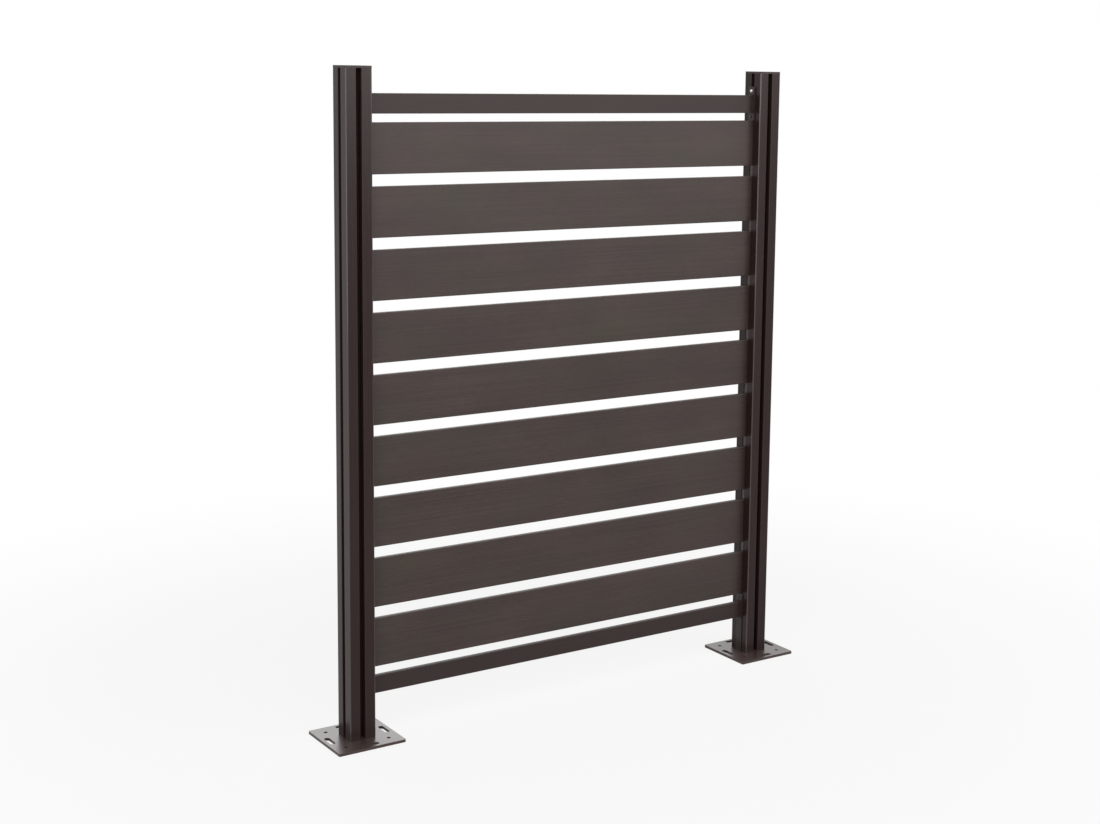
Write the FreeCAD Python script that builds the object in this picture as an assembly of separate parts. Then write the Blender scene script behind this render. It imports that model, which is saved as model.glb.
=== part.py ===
import FreeCAD, Part
import math
import os

# Garden privacy screen: two grooved square posts on base plates carry nine wide slats
# between a narrow top rail and a narrow bottom rail.
# Millimetres. X runs along the screen, Y from front to back, Z up. The origin lies on the
# ground, midway between the two posts.

# ---- Overall layout ----
overall_height = 1800.0
post_spacing = 1345.0          # centre to centre of the two posts
ground_gap = 117.0             # ground to the underside of the bottom rail
slat_count = 9

# ---- Posts: extruded section with a groove down each face ----
post_width = 75.0
post_corner_radius = 3.0
post_wall = 2.0
groove_width = 15.0
groove_depth = 20.0
groove_lip_radius = 1.5
port_wall = 2.4                # square screw ports on the corners of the central tube
chase_wall = 2.0               # screw chase behind the floor of each groove

# ---- Base plates ----
plate_side = 195.0
plate_thickness = 8.0
plate_corner_radius = 3.0
anchor_hole_radius = 5.5
anchor_hole_spacing = 126.0
anchor_slot_width = 15.0
anchor_slot_length = 51.0
anchor_slot_offset = 80.0      # slot centre line to post centre

# ---- Post caps ----
cap_thickness = 6.0
cap_leg_length = 14.0
cap_leg_thickness = 2.5
cap_leg_clearance = 0.3

# ---- Slats and rails ----
slat_height = 135.0
slat_gap = 31.0                # between two slats
bottom_rail_height = 50.0
bottom_rail_gap = 25.0         # between the bottom rail and the lowest slat
top_rail_height = 53.0
top_rail_gap = 22.0            # between the top rail and the highest slat
board_thickness = 14.0         # slats and rails share one thickness
board_corner_radius = 2.5
slat_wall = 1.5
rail_wall = 2.0
slat_web_count = 2
rail_web_count = 1
board_end_room = 5.0           # between a board's end and the floor of its groove

# ---- Spacers in the inner grooves ----
filler_clearance = 0.3         # a filler to each side of its groove
spacer_recess = 3.0            # spacer face behind the post face
spacer_wall = 1.8

# ---- Rail brackets and support strips ----
bracket_width = 28.0
bracket_thickness = 4.0
bracket_corner_cut = 3.0
bracket_ear = 25.0             # free ear above the top rail
collar_wall = 1.8
collar_height = 3.0            # collar round the rail, proud of the bracket plate
window_clearance = 0.3
strip_wall = 2.0
strip_flange = 2.5

# ---- Screws ----
screw_radius = 2.5
screw_clearance = 0.1
screw_facets = 12
bracket_screw_grip = 7.0       # into the screw chase
bracket_head_radius = 4.75
bracket_head_height = 3.0
bracket_head_taper = 1.0
base_screw_grip = 22.0         # into the screw port
base_head_radius = 5.5

# ---- Worked out from the sizes above ----
post_half = post_width / 2
groove_half = groove_width / 2
tube_half = post_half - groove_depth          # outer half width of the central tube
screw_room = screw_radius + screw_clearance
port_half = screw_room + port_wall
port_offset = tube_half - post_wall + port_half
chase_depth = bracket_screw_grip + screw_clearance
filler_half = groove_half - filler_clearance
inner_face = post_spacing / 2 - post_half     # X of the right post's inner face
groove_floor = inner_face + groove_depth
post_top = overall_height - cap_thickness
board_half_length = groove_floor - board_end_room
slat_pitch = slat_height + slat_gap
bottom_rail_top = ground_gap + bottom_rail_height
lowest_slat_bottom = bottom_rail_top + bottom_rail_gap
highest_slat_top = lowest_slat_bottom + slat_count * slat_pitch - slat_gap
top_rail_bottom = highest_slat_top + top_rail_gap
top_rail_top = top_rail_bottom + top_rail_height
lower_ear_screw = top_rail_bottom - top_rail_gap / 2
upper_ear_screw = top_rail_top + bracket_ear / 2
bottom_ear_screw = bottom_rail_top + bottom_rail_gap / 2
strip_top = ground_gap - collar_wall          # the bottom bracket sits on the strip
base_head_depth = base_head_radius - screw_radius
origin = FreeCAD.Vector(0, 0, 0)
along_x = FreeCAD.Vector(1, 0, 0)
along_y = FreeCAD.Vector(0, 1, 0)
along_z = FreeCAD.Vector(0, 0, 1)


def box(x_range, y_range, z_range):
    corner = FreeCAD.Vector(x_range[0], y_range[0], z_range[0])
    size = [high - low for low, high in (x_range, y_range, z_range)]
    return Part.makeBox(*size, corner)


def square(half, z_range):
    return box((-half, half), (-half, half), z_range)


def cylinder(radius, z_range, x, y):
    return Part.makeCylinder(radius, z_range[1] - z_range[0], FreeCAD.Vector(x, y, z_range[0]))


def quarter_turns(shape):
    """The shape and its copies turned by 90, 180 and 270 degrees about Z."""
    turned = [shape.copy() for _ in range(4)]
    for index, copy in enumerate(turned):
        copy.rotate(origin, along_z, 90 * index)
    return turned


def edges_along(shape, axis):
    """Straight edges that run along an axis."""
    found = []
    for edge in shape.Edges:
        run = edge.Vertexes[-1].Point - edge.Vertexes[0].Point
        if abs(run.dot(axis)) > 0.999 * edge.Length:
            found.append(edge)
    return found


def write(name, shape):
    shape.exportStep("parts/" + name + ".step")


def write_pair(name, right_shape):
    """The right-hand piece and its mirror image on the left."""
    write("right_" + name, right_shape)
    write("left_" + name, right_shape.mirror(origin, along_x))


def at_right_post(shape):
    moved = shape.copy()
    moved.translate(FreeCAD.Vector(post_spacing / 2, 0, 0))
    return moved


# ---- Screws ----
def facet_ring(radius, height):
    """Corner points of a closed polygon on a circle."""
    points = []
    for index in range(screw_facets + 1):
        angle = 2 * math.pi * index / screw_facets
        points.append(FreeCAD.Vector(radius * math.cos(angle), radius * math.sin(angle), height))
    return points


def facet_rod(sections):
    """Faceted solid through rings of the given (radius, height) pairs, from the bottom up."""
    rings = [facet_ring(radius, height) for radius, height in sections]
    outlines = [rings[0], rings[-1]]
    for lower, upper in zip(rings, rings[1:]):
        for index in range(screw_facets):
            outlines.append(lower[index:index + 2] + upper[index:index + 2][::-1] + [lower[index]])
    return Part.Solid(Part.Shell([Part.Face(Part.makePolygon(points)) for points in outlines]))


def base_screw_form(clearance, top):
    """Countersunk form in a screw port's place, for a screw or for its hole in the plate."""
    shank_radius = screw_radius + clearance
    head = (base_head_radius + clearance, 0)
    form = facet_rod([head, (shank_radius, base_head_depth), (shank_radius, top)])
    form.translate(FreeCAD.Vector(port_offset, port_offset, 0))
    return form


def base_screws():
    """Countersunk screws, from below through the plate into the post's four screw ports."""
    screw = base_screw_form(0, plate_thickness + base_screw_grip)
    return at_right_post(Part.makeCompound(quarter_turns(screw)))


def bracket_screws():
    """Pan-head screws through the bracket ears and plugs into the post's screw chase."""
    screw = facet_rod([
        (bracket_head_radius - bracket_head_taper, -bracket_head_height),
        (bracket_head_radius, bracket_head_taper - bracket_head_height),
        (bracket_head_radius, 0),
        (screw_radius, 0),
        (screw_radius, bracket_thickness + groove_depth + bracket_screw_grip),
    ])
    screw.rotate(origin, along_y, 90)
    screws = []
    for height in (bottom_ear_screw, lower_ear_screw, upper_ear_screw):
        placed = screw.copy()
        placed.translate(FreeCAD.Vector(inner_face - bracket_thickness, 0, height))
        screws.append(placed)
    return Part.makeCompound(screws)


# ---- Posts ----
def post_outline(z_range):
    """Rounded square with a lipped groove in each face and a screw chase in each groove floor."""
    body = square(post_half, z_range)
    body = body.makeFillet(post_corner_radius, edges_along(body, along_z))
    groove = box((tube_half, post_half), (-groove_half, groove_half), z_range)
    body = body.cut(quarter_turns(groove))
    lips = []
    for edge in edges_along(body, along_z):
        at = edge.Vertexes[0].Point
        reach, offset = max(abs(at.x), abs(at.y)), min(abs(at.x), abs(at.y))
        if math.isclose(reach, post_half) and math.isclose(offset, groove_half):
            lips.append(edge)
    body = body.makeFillet(groove_lip_radius, lips)
    chase = box((tube_half - chase_depth, tube_half), (-screw_room, screw_room), z_range)
    return body.cut(quarter_turns(chase))


def post_hollows(z_range):
    """Four corner chambers round their screw ports, the port bores and the central tube's bore."""
    outer = post_half - post_wall
    inner = groove_half + post_wall
    bore_half = tube_half - post_wall
    chamber = box((inner, outer), (inner, outer), z_range)
    chamber = chamber.cut(square(tube_half, z_range))
    port_range = (port_offset - port_half, port_offset + port_half)
    chamber = chamber.cut(box(port_range, port_range, z_range))
    port_bore = cylinder(screw_room, z_range, port_offset, port_offset)
    chase_half = screw_room + chase_wall
    chase_x = (tube_half - chase_depth - chase_wall, tube_half)
    chase_shell = box(chase_x, (-chase_half, chase_half), z_range)
    tube_bore = square(bore_half, z_range).cut(quarter_turns(chase_shell))
    return quarter_turns(chamber) + quarter_turns(port_bore) + [tube_bore]


def post():
    z_range = (plate_thickness, post_top)
    return at_right_post(post_outline(z_range).cut(post_hollows(z_range)))


# ---- Base plates ----
def anchor_slot(z_range):
    """Round-ended slot parallel to the plate's +X side."""
    half_width = anchor_slot_width / 2
    straight = anchor_slot_length / 2 - half_width
    slot_x = (anchor_slot_offset - half_width, anchor_slot_offset + half_width)
    ends = [cylinder(half_width, z_range, anchor_slot_offset, y) for y in (-straight, straight)]
    return box(slot_x, (-straight, straight), z_range).fuse(ends).removeSplitter()


def base_plate():
    """Square plate with a slot on each side, corner holes and countersunk screw holes."""
    z_range = (0, plate_thickness)
    plate = square(plate_side / 2, z_range)
    plate = plate.makeFillet(plate_corner_radius, edges_along(plate, along_z))
    anchor_hole = cylinder(anchor_hole_radius, z_range, anchor_hole_spacing / 2, anchor_hole_spacing / 2)
    screw_hole = base_screw_form(screw_clearance, plate_thickness)
    cuts = []
    for cut in (anchor_slot(z_range), anchor_hole, screw_hole):
        cuts += quarter_turns(cut)
    return at_right_post(plate.cut(cuts))


# ---- Post caps ----
def post_cap():
    """Flush cap with an angled leg in each corner chamber."""
    cap = square(post_half, (post_top, overall_height))
    cap = cap.makeFillet(post_corner_radius, edges_along(cap, along_z))
    outer = post_half - post_wall - cap_leg_clearance
    inner = groove_half + post_wall + cap_leg_clearance
    z_range = (post_top - cap_leg_length, post_top)
    leg = box((inner, outer), (inner, outer), z_range)
    leg = leg.cut(square(outer - cap_leg_thickness, z_range))
    return at_right_post(cap.fuse(quarter_turns(leg)))


# ---- Slats and rails ----
def board(height, wall, web_count, bottom):
    """Hollow extrusion with rounded corners and evenly spaced webs."""
    x_range = (-board_half_length, board_half_length)
    half = board_thickness / 2
    outer = box(x_range, (-half, half), (bottom, bottom + height))
    outer = outer.makeFillet(board_corner_radius, edges_along(outer, along_x))
    cell_height = (height - wall) / (web_count + 1) - wall
    cells = []
    for index in range(web_count + 1):
        floor = bottom + wall + index * (cell_height + wall)
        cells.append(box(x_range, (wall - half, half - wall), (floor, floor + cell_height)))
    return outer.cut(cells)


# ---- Spacers ----
def spacer(z_range):
    """Hollow block on the groove's floor, set back from the post's face."""
    x_range = (inner_face + spacer_recess, groove_floor)
    bore_half = filler_half - spacer_wall
    block = box(x_range, (-filler_half, filler_half), z_range)
    bore = box((x_range[0] + spacer_wall, x_range[1] - spacer_wall), (-bore_half, bore_half), z_range)
    return block.cut(bore)


# ---- Rail brackets ----
def rail_bracket(rail_z, reach_z, screw_heights):
    """Plate over the groove with a collar round the rail, and plugs in the groove behind it."""
    low, high = reach_z
    plate_x = (inner_face - bracket_thickness, inner_face)
    plate = box(plate_x, (-bracket_width / 2, bracket_width / 2), reach_z)
    plate = plate.makeChamfer(bracket_corner_cut, edges_along(plate, along_x))
    window_half = board_thickness / 2 + window_clearance
    window_z = (rail_z[0], rail_z[1] + window_clearance)
    collar_x = (plate_x[0] - collar_height, inner_face)
    collar_half = window_half + collar_wall
    collar_z = (window_z[0] - collar_wall, window_z[1] + collar_wall)
    collar = box(collar_x, (-collar_half, collar_half), collar_z)
    plug_y = (-filler_half, filler_half)
    lower_plug = box((inner_face, groove_floor), plug_y, (low, window_z[0]))
    upper_plug = box((inner_face, groove_floor), plug_y, (window_z[1], high))
    body = plate.fuse([collar, lower_plug, upper_plug]).removeSplitter()
    cuts = [box((collar_x[0], groove_floor), (-window_half, window_half), window_z)]
    for height in screw_heights:
        start = FreeCAD.Vector(plate_x[0], 0, height)
        cuts.append(Part.makeCylinder(screw_room, groove_floor - plate_x[0], start, along_x))
    return body.cut(cuts)


def top_bracket():
    """Bracket with a screwed ear below the top rail and another above it."""
    reach_z = (highest_slat_top, top_rail_top + bracket_ear)
    return rail_bracket((top_rail_bottom, top_rail_top), reach_z, (lower_ear_screw, upper_ear_screw))


def bottom_bracket():
    """Bracket on the support strip, with one screwed ear above the bottom rail."""
    reach_z = (strip_top, lowest_slat_bottom)
    return rail_bracket((ground_gap, bottom_rail_top), reach_z, (bottom_ear_screw,))


# ---- Support strips ----
def support_strip():
    """T-shaped extrusion with a hollow stem: it stands on the base plate in the inner groove."""
    z_range = (plate_thickness, strip_top)
    flange_x = (inner_face - strip_flange, inner_face)
    flange = box(flange_x, (-bracket_width / 2, bracket_width / 2), z_range)
    stem = box((inner_face, groove_floor), (-filler_half, filler_half), z_range)
    bore_half = filler_half - strip_wall
    bore = box((inner_face + strip_wall, groove_floor - strip_wall), (-bore_half, bore_half), z_range)
    return flange.fuse(stem).removeSplitter().cut(bore)


# ---- Write every piece ----
os.makedirs("parts", exist_ok=True)
write_pair("post", post())
write_pair("base_plate", base_plate())
write_pair("base_screws", base_screws())
write_pair("post_cap", post_cap())
write_pair("top_bracket", top_bracket())
write_pair("bottom_bracket", bottom_bracket())
write_pair("bracket_screws", bracket_screws())
write_pair("support_strip", support_strip())
write("bottom_rail", board(bottom_rail_height, rail_wall, rail_web_count, ground_gap))
write("top_rail", board(top_rail_height, rail_wall, rail_web_count, top_rail_bottom))
for number in range(1, slat_count + 1):
    slat_bottom = highest_slat_top - slat_height - (number - 1) * slat_pitch
    write("slat_%d" % number, board(slat_height, slat_wall, slat_web_count, slat_bottom))
    if number < slat_count:
        write_pair("spacer_%d" % number, spacer((slat_bottom - slat_gap, slat_bottom)))
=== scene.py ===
import math
import bmesh
import bpy
from mathutils import Matrix, Vector


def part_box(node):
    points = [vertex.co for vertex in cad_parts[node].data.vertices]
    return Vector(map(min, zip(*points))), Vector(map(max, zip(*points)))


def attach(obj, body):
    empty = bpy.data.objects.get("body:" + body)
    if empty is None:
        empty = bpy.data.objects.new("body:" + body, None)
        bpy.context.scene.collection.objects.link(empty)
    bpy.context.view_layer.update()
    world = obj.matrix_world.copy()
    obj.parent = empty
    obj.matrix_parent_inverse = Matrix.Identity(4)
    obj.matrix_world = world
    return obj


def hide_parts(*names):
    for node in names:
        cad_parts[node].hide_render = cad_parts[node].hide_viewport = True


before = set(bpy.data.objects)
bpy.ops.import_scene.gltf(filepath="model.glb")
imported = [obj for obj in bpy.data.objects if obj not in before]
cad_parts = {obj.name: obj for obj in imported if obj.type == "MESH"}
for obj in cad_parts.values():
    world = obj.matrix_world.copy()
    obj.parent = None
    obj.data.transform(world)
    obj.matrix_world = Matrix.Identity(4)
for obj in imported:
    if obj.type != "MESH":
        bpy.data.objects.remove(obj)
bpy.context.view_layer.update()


# ---- Base plates ----
# Each post stands on a cut steel plate, 195 mm square and 8 mm thick, with round holes and
# slots for ground anchors. It wears the screen's satin bronze powder coat: fine orange peel,
# thickest on the flat top and thin along the cut rim, with a few faint scuffs. A paler line
# along the cut rim is a painted highlight.
class Wire:
    """A value on its way through a material's nodes. Sums and products of wires add Math nodes."""

    def __init__(self, tree, socket=None):
        self.tree = tree
        self.socket = socket

    def node(self, kind, settings=None, inputs=None, output=0):
        """Adds a node: its type, its settings, what its sockets take, and the output that is used."""
        made = self.tree.nodes.new("ShaderNode" + kind)
        for name, setting in (settings or {}).items():
            setattr(made, name, setting)
        for name, value in (inputs or {}).items():
            if isinstance(value, Wire):
                self.tree.links.new(value.socket, made.inputs[name])
            else:
                made.inputs[name].default_value = value
        return Wire(self.tree, made.outputs[output] if made.outputs else None)

    def math(self, operation, first, second=0.0):
        return self.node("Math", {"operation": operation}, {0: first, 1: second})

    def __add__(self, other):
        return self.math("ADD", self, other)

    def __sub__(self, other):
        return self.math("SUBTRACT", self, other)

    def __rsub__(self, other):
        return self.math("SUBTRACT", other, self)

    def __mul__(self, other):
        return self.math("MULTIPLY", self, other)

    def __abs__(self):
        return self.math("ABSOLUTE", self)

    __radd__ = __add__
    __rmul__ = __mul__


def start(name):
    """A new material, and the place of a point of the surface in the screen's own axes."""
    material = bpy.data.materials.new(name)
    material.use_nodes = True
    material.node_tree.nodes.clear()
    return material, Wire(material.node_tree).node("TexCoord", output="Object")


def coordinate(vector, axis):
    """One of the three numbers of a place or a normal."""
    return vector.node("SeparateXYZ", {}, {0: vector}, axis)


def noise(place, cells, detail=2.0):
    """Noise from 0 to 1 with so many cells to the metre along X, Y and Z."""
    scaled = place.node("VectorMath", {"operation": "MULTIPLY"}, {0: place, 1: cells})
    return place.node("TexNoise", {}, {"Vector": scaled, "Scale": 1.0, "Detail": detail})


def orange_peel(place, cells=900):
    """The fine dimpled skin of sprayed and baked powder, about a millimetre from dimple to dimple."""
    return noise(place, (cells, cells, cells))


def ramp(wire, low, high):
    """A smooth rise from 0 at low to 1 at high."""
    limits = {"Value": wire, "From Min": low, "From Max": high}
    return wire.node("MapRange", {"interpolation_type": "SMOOTHSTEP"}, limits)


def mixed(amount, first, second):
    """A colour between two others, each a wire or its red, green and blue."""
    first, second = [tone if isinstance(tone, Wire) else (*tone, 1) for tone in (first, second)]
    return amount.node("Mix", {"data_type": "RGBA"}, {0: amount, 6: first, 7: second}, output=2)


def rim(place, low, high):
    """1 along the outline of a square piece and 0 inside it; its middle is 0 and its side 0.5."""
    across = place.node("TexCoord", output="Generated")
    x, y = [abs(coordinate(across, axis) - 0.5) for axis in (0, 1)]
    return ramp(x.math("MAXIMUM", x, y), low, high)


def finish(material, colour, roughness, height, depth, **sockets):
    """Closes a material with its colour, its roughness, a relief in metres and other sockets."""
    relief = height.node("Bump", {}, {"Height": height, "Distance": depth, "Strength": 1.0})
    inputs = {"Base Color": colour, "Roughness": roughness, "Normal": relief}
    for name, value in sockets.items():
        inputs[name.replace("_", " ")] = value
    shader = height.node("BsdfPrincipled", {}, inputs)
    shader.node("OutputMaterial", {}, {"Surface": shader})


def cover(material, names):
    """Gives CAD pieces their finish."""
    for name in names:
        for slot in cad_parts[name].material_slots:
            slot.material = material


sides = ("left", "right")
plate_dark = (0.040, 0.025, 0.023)
plate_light = (0.062, 0.040, 0.036)
plate_scuff_and_rim_highlight = (0.120, 0.098, 0.092)
plate_coat, place = start("plate_coat")
cloud = noise(place, (22, 22, 22), 4.0)
scuff = ramp(noise(place, (35, 260, 120), 5.0), 0.62, 0.72)
# Painted highlight: a paler line along the rim of each plate, mixed in with the real scuffs.
painted_rim_highlight = rim(place, 0.492, 0.499)
flat_top = ramp(coordinate(place.node("TexCoord", output="Normal"), 2), 0.9, 0.99)
colour = mixed(cloud, plate_dark, plate_light)
colour = mixed(painted_rim_highlight * 0.12 + scuff * 0.15, colour, plate_scuff_and_rim_highlight)
roughness = 0.30 + cloud * 0.07 + scuff * 0.08
finish(plate_coat, colour, roughness, orange_peel(place), 0.000006, IOR=1.3,
       Coat_Weight=flat_top, Coat_IOR=1.52, Coat_Roughness=0.36)
cover(plate_coat, [side + "_base_plate" for side in sides])


# ---- Base screws ----
# Four countersunk steel screws come up through each plate into the bores of the post.
# They are zinc plated, with a cross recess, and only their heads show, from underneath.
def turned(profile, segments=32):
    """A turned solid from (radius, height) pairs, from one end to the other."""
    mesh = bmesh.new()
    rings = []
    for radius, height in profile:
        angles = [2 * math.pi * step / segments for step in range(segments)]
        spots = [(radius * math.cos(turn), radius * math.sin(turn), height) for turn in angles]
        rings.append([mesh.verts.new(spot) for spot in spots])
    for below, above in zip(rings, rings[1:]):
        for step in range(segments):
            after = (step + 1) % segments
            mesh.faces.new((below[step], below[after], above[after], above[step]))
    mesh.faces.new(rings[0][::-1])
    mesh.faces.new(rings[-1])
    bmesh.ops.recalc_face_normals(mesh, faces=mesh.faces)
    return mesh


def cross_cutter(span, width, depth, top):
    """Two crossed blades that narrow as they go up into a head whose top faces down."""
    first_turn = 0.4
    tip_scale = 0.45
    mesh = bmesh.new()
    for turn in (first_turn, first_turn + math.pi / 2):
        for vert in bmesh.ops.create_cube(mesh, size=1.0)["verts"]:
            tip = vert.co.z > 0
            scale = tip_scale if tip else 1.0
            spot = Vector((vert.co.x * span * scale, vert.co.y * width * scale,
                           top + depth if tip else top - depth / 2))
            vert.co = Matrix.Rotation(turn, 3, "Z") @ spot
    return mesh


def as_object(name, mesh):
    """Turns mesh code into an object of the scene."""
    data = bpy.data.meshes.new(name)
    mesh.to_mesh(data)
    mesh.free()
    made = bpy.data.objects.new(name, data)
    bpy.context.scene.collection.objects.link(made)
    return made


def cut_recess(made, cutter):
    """Cuts a recess into a screw and leaves no modifier behind."""
    modifier = made.modifiers.new("recess", "BOOLEAN")
    modifier.object = cutter
    modifier.solver = "EXACT"
    modifier.use_self = True
    shown = made.evaluated_get(bpy.context.evaluated_depsgraph_get())
    made.data = bpy.data.meshes.new_from_object(shown)
    made.modifiers.clear()
    bpy.data.objects.remove(cutter)


def add_thread(made, root, crest, low, high, pitch, segments=16):
    """Winds one closed ridge round a shank and lets it die out at both ends."""
    half_foot = 0.38 * pitch
    thinnest = 0.05
    mesh = bmesh.new()
    mesh.from_mesh(made.data)
    count = int((high - low - pitch) / pitch * segments)
    rows = []
    for step in range(count + 1):
        turn = 2 * math.pi * step / segments
        middle = low + pitch / 2 + pitch * step / segments
        fade = max(thinnest, min(1.0, step / segments, (count - step) / segments))
        row = []
        for radius, rise in ((root, -half_foot), (root + (crest - root) * fade, 0), (root, half_foot)):
            spot = (radius * math.cos(turn), radius * math.sin(turn), middle + rise)
            row.append(mesh.verts.new(spot))
        rows.append(row)
    for before, after in zip(rows, rows[1:]):
        for corner in range(3):
            following = (corner + 1) % 3
            mesh.faces.new((before[corner], after[corner], after[following], before[following]))
    mesh.faces.new(rows[0])
    mesh.faces.new(rows[-1][::-1])
    bmesh.ops.recalc_face_normals(mesh, faces=mesh.faces)
    mesh.to_mesh(made.data)
    mesh.free()


def repeat(name, pattern, places):
    """One piece made of copies of a pattern, each under its own matrix, smooth but for its edges."""
    mesh = bmesh.new()
    for matrix in places:
        copy = bmesh.new()
        copy.from_mesh(pattern.data)
        copy.transform(matrix)
        swap = bpy.data.meshes.new("swap")
        copy.to_mesh(swap)
        copy.free()
        mesh.from_mesh(swap)
        bpy.data.meshes.remove(swap)
    made = as_object(name, mesh)
    for polygon in made.data.polygons:
        polygon.use_smooth = True
    made.data.set_sharp_from_angle(angle=math.radians(35))
    return made


def fit_screws(screws, node, zinc):
    """Puts a set of screws in the place of the plain ones of the CAD model."""
    screws.data.materials.append(zinc)
    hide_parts(node)
    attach(screws, "root")


core_radius = 0.0019
thread_radius = 0.0025
thread_root = core_radius - 0.0001
thread_pitch = 0.0013
tip_radius = 0.0006
tip_length = 0.002
blade_width = 0.0013
base_head_radius = 0.0055
base_head_land = 0.0002
base_head_depth = base_head_radius - thread_radius + 0.0004
base_thread_start = 0.006
base_length = 0.030
base_spread = 0.0205
shank = turned([(base_head_radius - base_head_land, 0), (base_head_radius, base_head_land),
                (core_radius, base_head_depth), (core_radius, base_length - tip_length),
                (tip_radius, base_length)])
pattern = as_object("base_screw_pattern", shank)
cut_recess(pattern, as_object("cutter", cross_cutter(0.0062, blade_width, 0.0022, 0)))
add_thread(pattern, thread_root, thread_radius, base_thread_start, base_length - tip_length, thread_pitch)

dull_zinc = (0.50, 0.50, 0.49)
bright_zinc = (0.74, 0.74, 0.72)
base_zinc, place = start("base_screw_zinc")
marks = noise(place, (300, 300, 4000), 3.0)
dull = noise(place, (260, 260, 260), 3.0)
colour = mixed(dull, dull_zinc, bright_zinc)
finish(base_zinc, colour, 0.22 + dull * 0.2 + marks * 0.08, marks, 0.000015, Metallic=1.0)
for side in sides:
    low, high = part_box(side + "_base_screws")
    middle = (low + high) / 2
    spots = [(middle.x + across * base_spread, middle.y + along * base_spread, low.z)
             for across in (-1, 1) for along in (-1, 1)]
    screws = repeat(side + "_base_screw_set", pattern, [Matrix.Translation(spot) for spot in spots])
    fit_screws(screws, side + "_base_screws", base_zinc)
bpy.data.objects.remove(pattern)


# ---- Posts ----
# Two aluminium extrusions, 75 mm square, with a groove down each face for the boards of this
# bay or the next. The coat follows faint die lines up the post and shines most on the four
# rounded corners, which get rubbed. A paler tone on the groove lips and the rounded corners
# is a painted highlight.
def rounded(place):
    """1 on a rounded corner, where the surface faces between two axes, and 0 on the flats."""
    normal = place.node("TexCoord", output="Normal")
    x, y, z = [abs(coordinate(normal, axis)) for axis in range(3)]
    return ramp(x * y + y * z + z * x, 0.08, 0.4)


low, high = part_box("right_post")
post_middle = (low.x + high.x) / 2
post_half = (high.x - low.x) / 2
corner_start = post_half - 0.0035
corner_full = post_half - 0.0025
post_dark = (0.0150, 0.0075, 0.0065)
post_light = (0.0290, 0.0170, 0.0155)
post_edge_highlight = (0.075, 0.058, 0.053)
post_coat, place = start("post_coat")
die = noise(place, (240, 240, 2.2), 3.0)
cloud = noise(place, (9, 9, 3), 3.0)
from_middle, from_front = [abs(coordinate(place, axis)) for axis in (0, 1)]
from_middle = abs(from_middle - post_middle)
corner = ramp(from_front, corner_start, corner_full) * ramp(from_middle, corner_start, corner_full)
colour = mixed(die * 0.4 + cloud * 0.6, post_dark, post_light)
# Painted highlight: a paler tone on every rounded edge, the corners and the groove lips.
colour = mixed(rounded(place) * 0.3, colour, post_edge_highlight)
roughness = 0.23 + die * 0.05 + cloud * 0.04
finish(post_coat, colour, roughness, orange_peel(place) * 0.7 + die * 0.9, 0.000005, IOR=1.26,
       Coat_Weight=corner * 0.42, Coat_IOR=1.8, Coat_Roughness=0.08)
cover(post_coat, [side + "_post" for side in sides])


# ---- Support strips ----
# Below each bottom bracket a short T-shaped extrusion stands on the base plate in the inner
# groove and carries the stack. Same bronze coat, with die lines running up it.
strip_dark = (0.022, 0.0145, 0.0135)
strip_light = (0.038, 0.027, 0.025)
strip_coat, place = start("strip_coat")
die = noise(place, (420, 420, 4), 3.0)
colour = mixed(die, strip_dark, strip_light)
relief = orange_peel(place, 1000) + die * 0.6
finish(strip_coat, colour, 0.24 + die * 0.06, relief, 0.000006, IOR=1.28)
cover(strip_coat, [side + "_support_strip" for side in sides])


# ---- Rail brackets ----
# Cast sockets screwed over the inner groove hold the ends of both rails. Their coat lies on
# cast metal, so it has a coarser skin than the extrusions. Their paler rounded corners are a
# painted highlight.
bracket_dark = (0.024, 0.016, 0.015)
bracket_light = (0.040, 0.028, 0.026)
bracket_corner_highlight = (0.120, 0.100, 0.094)
bracket_coat, place = start("bracket_coat")
skin = noise(place, (520, 520, 520), 3.0)
cloud = noise(place, (60, 60, 60), 3.0)
colour = mixed(cloud, bracket_dark, bracket_light)
# Painted highlight: the rounded corners of the brackets are paler.
colour = mixed(rounded(place) * 0.6, colour, bracket_corner_highlight)
finish(bracket_coat, colour, 0.28 + skin * 0.12, skin, 0.00002, IOR=1.33)
cover(bracket_coat, [side + level + "_bracket" for side in sides for level in ("_top", "_bottom")])


# ---- Bracket screws ----
# A pan-head steel screw with a cross recess fixes each bracket ear into the post's screw chase.
# The highest one, above the top rail, is bright zinc and catches the light. The two lower
# ones, between the boards, are coloured dull dark bronze as painted shade for the shade they sit in.
pan_radius = 0.00475
pan_height = 0.003
pan_edge = 0.35 * pan_height
pan_thread_start = 0.004
low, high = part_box("right_bracket_screws")
pan_length = high.x - low.x - pan_height
dome = [(pan_radius * math.cos(turn), -pan_edge - (pan_height - pan_edge) * math.sin(turn))
        for turn in [math.pi / 2 * step / 8 for step in range(7, -1, -1)]]
pan = turned(dome + [(pan_radius, 0), (core_radius, 0), (core_radius, pan_length - tip_length),
                     (tip_radius, pan_length)])
pattern = as_object("pan_screw_pattern", pan)
cut_recess(pattern, as_object("cutter", cross_cutter(0.0058, blade_width, 0.002, -pan_height)))
add_thread(pattern, thread_root, thread_radius, pan_thread_start, pan_length - tip_length, thread_pitch)

dull_zinc = (0.62, 0.62, 0.60)
bright_zinc = (0.82, 0.82, 0.80)
shade_bronze_dark = (0.020, 0.014, 0.013)
shade_bronze_light = (0.085, 0.070, 0.064)
rail_low, rail_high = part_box("top_rail")
pan_finish, place = start("pan_screw_finish")
marks = noise(place, (4000, 300, 300), 3.0)
dull = noise(place, (260, 260, 260), 3.0)
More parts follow.
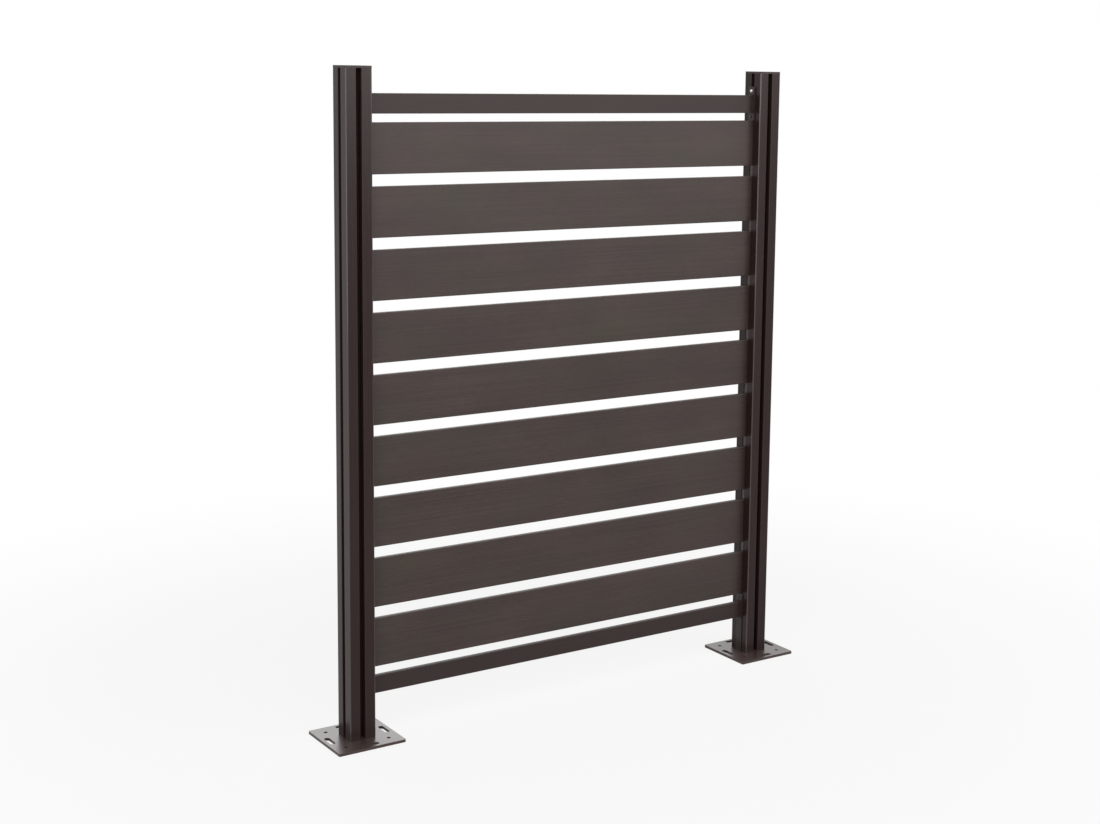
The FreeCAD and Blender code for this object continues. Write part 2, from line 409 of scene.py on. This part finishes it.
# Painted shade: below the top rail the screw heads are coloured dark bronze and not metallic.
above_painted_shade = ramp(coordinate(place, 2), rail_high.z - 0.010, rail_high.z + 0.005)
painted_shade_bronze = mixed(ramp(dull, 0.5, 0.7), shade_bronze_dark, shade_bronze_light)
colour = mixed(above_painted_shade, painted_shade_bronze, mixed(dull, dull_zinc, bright_zinc))
roughness = 0.34 + dull * 0.12 - above_painted_shade * 0.12
finish(pan_finish, colour, roughness, marks, 0.000015, Metallic=above_painted_shade, IOR=1.35)

bracket_low, bracket_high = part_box("right_top_bracket")
heights = [(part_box("bottom_rail")[1].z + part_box("slat_9")[0].z) / 2,
           (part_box("slat_1")[1].z + rail_low.z) / 2,
           (rail_high.z + bracket_high.z) / 2]
for side, facing in (("left", -1), ("right", 1)):
    low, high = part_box(side + "_bracket_screws")
    seat = low.x + pan_height if facing > 0 else high.x - pan_height
    tip_out = Matrix.Rotation(facing * math.pi / 2, 4, "Y")
    spots = [Matrix.Translation((seat, 0, height)) @ tip_out for height in heights]
    screws = repeat(side + "_pan_screw_set", pattern, spots)
    fit_screws(screws, side + "_bracket_screws", pan_finish)
bpy.data.objects.remove(pattern)


# ---- Rails ----
# One narrow hollow extrusion closes the stack below and one above, held in the brackets.
# Satin bronze coat over fine die lines that run along the rail, with a painted highlight on
# its rounded edges.
rail_dark = (0.021, 0.013, 0.012)
rail_light = (0.034, 0.022, 0.0205)
board_edge_highlight = (0.110, 0.088, 0.080)
rail_coat, place = start("rail_coat")
die = noise(place, (2.5, 300, 300), 3.0)
cloud = noise(place, (4, 12, 12), 3.0)
colour = mixed(die * 0.4 + cloud * 0.6, rail_dark, rail_light)
# Painted highlight: the rounded edges of the rails are paler.
colour = mixed(rounded(place) * 0.35, colour, board_edge_highlight)
roughness = 0.36 + die * 0.08 + cloud * 0.04
finish(rail_coat, colour, roughness, orange_peel(place) * 0.6 + die, 0.00001, IOR=1.31)
cover(rail_coat, ["bottom_rail", "top_rail"])


# ---- Slats ----
# Nine wide hollow extrusions with bull-nosed edges slide down the inner grooves. Long die lines
# and short fine dashes run along each slat, and its coat drifts slightly between a greener and
# a redder bronze, so no two slats look quite alike.
slat_green = (0.044, 0.034, 0.026)
slat_red = (0.054, 0.035, 0.032)
slat_dark = (0.028, 0.018, 0.016)
slat_coat, place = start("slat_coat")
die = noise(place, (2.0, 260, 260), 3.0)
dash = noise(place, (38, 420, 420), 2.0)
cloud = noise(place, (3, 8, 8), 3.0)
hue = noise(place, (4.2, 10, 7), 2.0)
streak = ramp(die * 0.35 + cloud * 0.35 + dash * 0.3, 0.3, 0.7)
colour = mixed(streak, slat_dark, mixed(ramp(hue, 0.35, 0.65), slat_green, slat_red))
# Painted highlight: the bull-nosed edges of the slats are paler.
colour = mixed(rounded(place) * 0.35, colour, board_edge_highlight)
roughness = 0.36 + die * 0.08 + dash * 0.06
relief = orange_peel(place) * 0.5 + die * 0.8 + dash * 0.8
finish(slat_coat, colour, roughness, relief, 0.00001, IOR=1.36)
cover(slat_coat, ["slat_%d" % number for number in range(1, 10)])


# ---- Spacers ----
# Moulded blocks between the slat ends keep the gaps equal. They are dark bronze plastic with
# the fine spark-eroded skin of an injection mould, duller than the coated metal.
spacer_dark = (0.050, 0.038, 0.034)
spacer_light = (0.074, 0.058, 0.052)
spacer_plastic, place = start("spacer_plastic")
skin = noise(place, (1500, 1500, 1500), 2.0)
flow = noise(place, (80, 80, 25), 3.0)
colour = mixed(flow, spacer_dark, spacer_light)
finish(spacer_plastic, colour, 0.46 + skin * 0.12, skin, 0.00002, IOR=1.47)
cover(spacer_plastic, [side + "_spacer_%d" % number for side in sides for number in range(1, 9)])


# ---- Post caps ----
# A flat cap closes each post, flush with its sides, on four legs in the corner chambers.
# It has the bronze coat too; the paler line along its rim is a painted highlight.
cap_dark = (0.030, 0.021, 0.019)
cap_light = (0.044, 0.032, 0.030)
cap_rim_highlight = (0.110, 0.090, 0.084)
cap_coat, place = start("cap_coat")
cloud = noise(place, (40, 40, 40), 3.0)
colour = mixed(cloud, cap_dark, cap_light)
# Painted highlight: a paler line along the rim of the cap.
colour = mixed(rim(place, 0.485, 0.497) * 0.2, colour, cap_rim_highlight)
finish(cap_coat, colour, 0.46 + cloud * 0.10, orange_peel(place), 0.00001, IOR=1.28)
cover(cap_coat, [side + "_post_cap" for side in sides])


# ---- Room, lamps and camera ----
# The screen stands on a wide plain pale floor in a white studio. Four large soft lamps light
# it: the key lamp from the left, one from the front on the right, one from above and one from
# behind. The camera looks at it from the left in front.
def shows_background(first):
    """1 for a ray that shows the background: seen directly, in a gloss or through glass."""
    rays = ("Is Camera Ray", "Is Glossy Ray", "Is Transmission Ray")
    camera, gloss, glass = [first.node("LightPath", output=ray) for ray in rays]
    return camera + gloss + glass


pure_white = (1, 1, 1, 1)
floor_colour = (0.66, 0.655, 0.65, 1)
floor_radius = 30
floor_drop = 0.0005
least_white = 0.86
floor_mesh = bmesh.new()
bmesh.ops.create_circle(floor_mesh, cap_ends=True, segments=64, radius=floor_radius)
floor = as_object("floor", floor_mesh)
floor.location.z = -floor_drop
floor_paint, place = start("floor_paint")
distance = place.node("VectorMath", {"operation": "LENGTH"}, {0: place}, "Value")
share = least_white + ramp(distance, 1.0, 3.0) * (1 - least_white)
matt = place.node("BsdfDiffuse", {}, {"Color": floor_colour})
white = place.node("Emission", {}, {"Color": pure_white, "Strength": 1.0})
both = place.node("MixShader", {}, {0: shows_background(place) * share, 1: matt, 2: white})
both.node("OutputMaterial", {}, {"Surface": both})
floor.data.materials.append(floor_paint)

world = bpy.data.worlds.new("studio")
bpy.context.scene.world = world
world.use_nodes = True
world.node_tree.nodes.clear()
first = Wire(world.node_tree)
room = first.node("Background", {}, {"Color": pure_white, "Strength": 0.42})
white = first.node("Background", {}, {"Color": pure_white, "Strength": 1.0})
both = first.node("MixShader", {}, {0: shows_background(first), 1: room, 2: white})
both.node("OutputWorld", {}, {"Surface": both})


def lamp(name, spot, target, width, height, watts):
    """A soft rectangular studio lamp that looks at a point."""
    data = bpy.data.lights.new(name, "AREA")
    data.shape = "RECTANGLE"
    data.size = width
    data.size_y = height
    data.energy = watts
    made = bpy.data.objects.new(name, data)
    made.location = spot
    made.rotation_euler = (Vector(target) - Vector(spot)).to_track_quat("-Z", "Y").to_euler()
    bpy.context.scene.collection.objects.link(made)


lamp("key_lamp", (-4.4, -3.4, 2.0), (-0.3, 0, 1.2), 4.0, 3.4, 128)
lamp("front_lamp", (2.3, -4.7, 2.4), (0.2, 0, 1.3), 3.4, 1.7, 98)
lamp("top_lamp", (-0.5, -2.5, 4.6), (0, 0, 1.2), 2.5, 2.0, 60)
lamp("back_lamp", (1.2, 4.8, 2.8), (0, 0, 1.0), 4.6, 3.4, 55)

image_width, image_height = 1100, 824
focal_pixels = 1759.37
centre_across, centre_down = 650, 320
camera_place = (-2.66757, -4.15636, 1.81153)
turn_right, look_down, lean = 0.615912, 0.143459, -0.017068
camera_data = bpy.data.cameras.new("camera")
camera_data.sensor_width = 36
camera_data.lens = camera_data.sensor_width * focal_pixels / image_width
camera_data.shift_x = (image_width / 2 - centre_across) / image_width
camera_data.shift_y = (centre_down - image_height / 2) / image_width
camera = bpy.data.objects.new("camera", camera_data)
camera.matrix_world = (Matrix.Translation(camera_place)
                       @ Matrix.Rotation(-turn_right, 4, "Z")
                       @ Matrix.Rotation(math.pi / 2 - look_down, 4, "X")
                       @ Matrix.Rotation(-lean, 4, "Z"))
bpy.context.scene.collection.objects.link(camera)
bpy.context.scene.camera = camera
bpy.context.scene.view_settings.view_transform = "Standard"
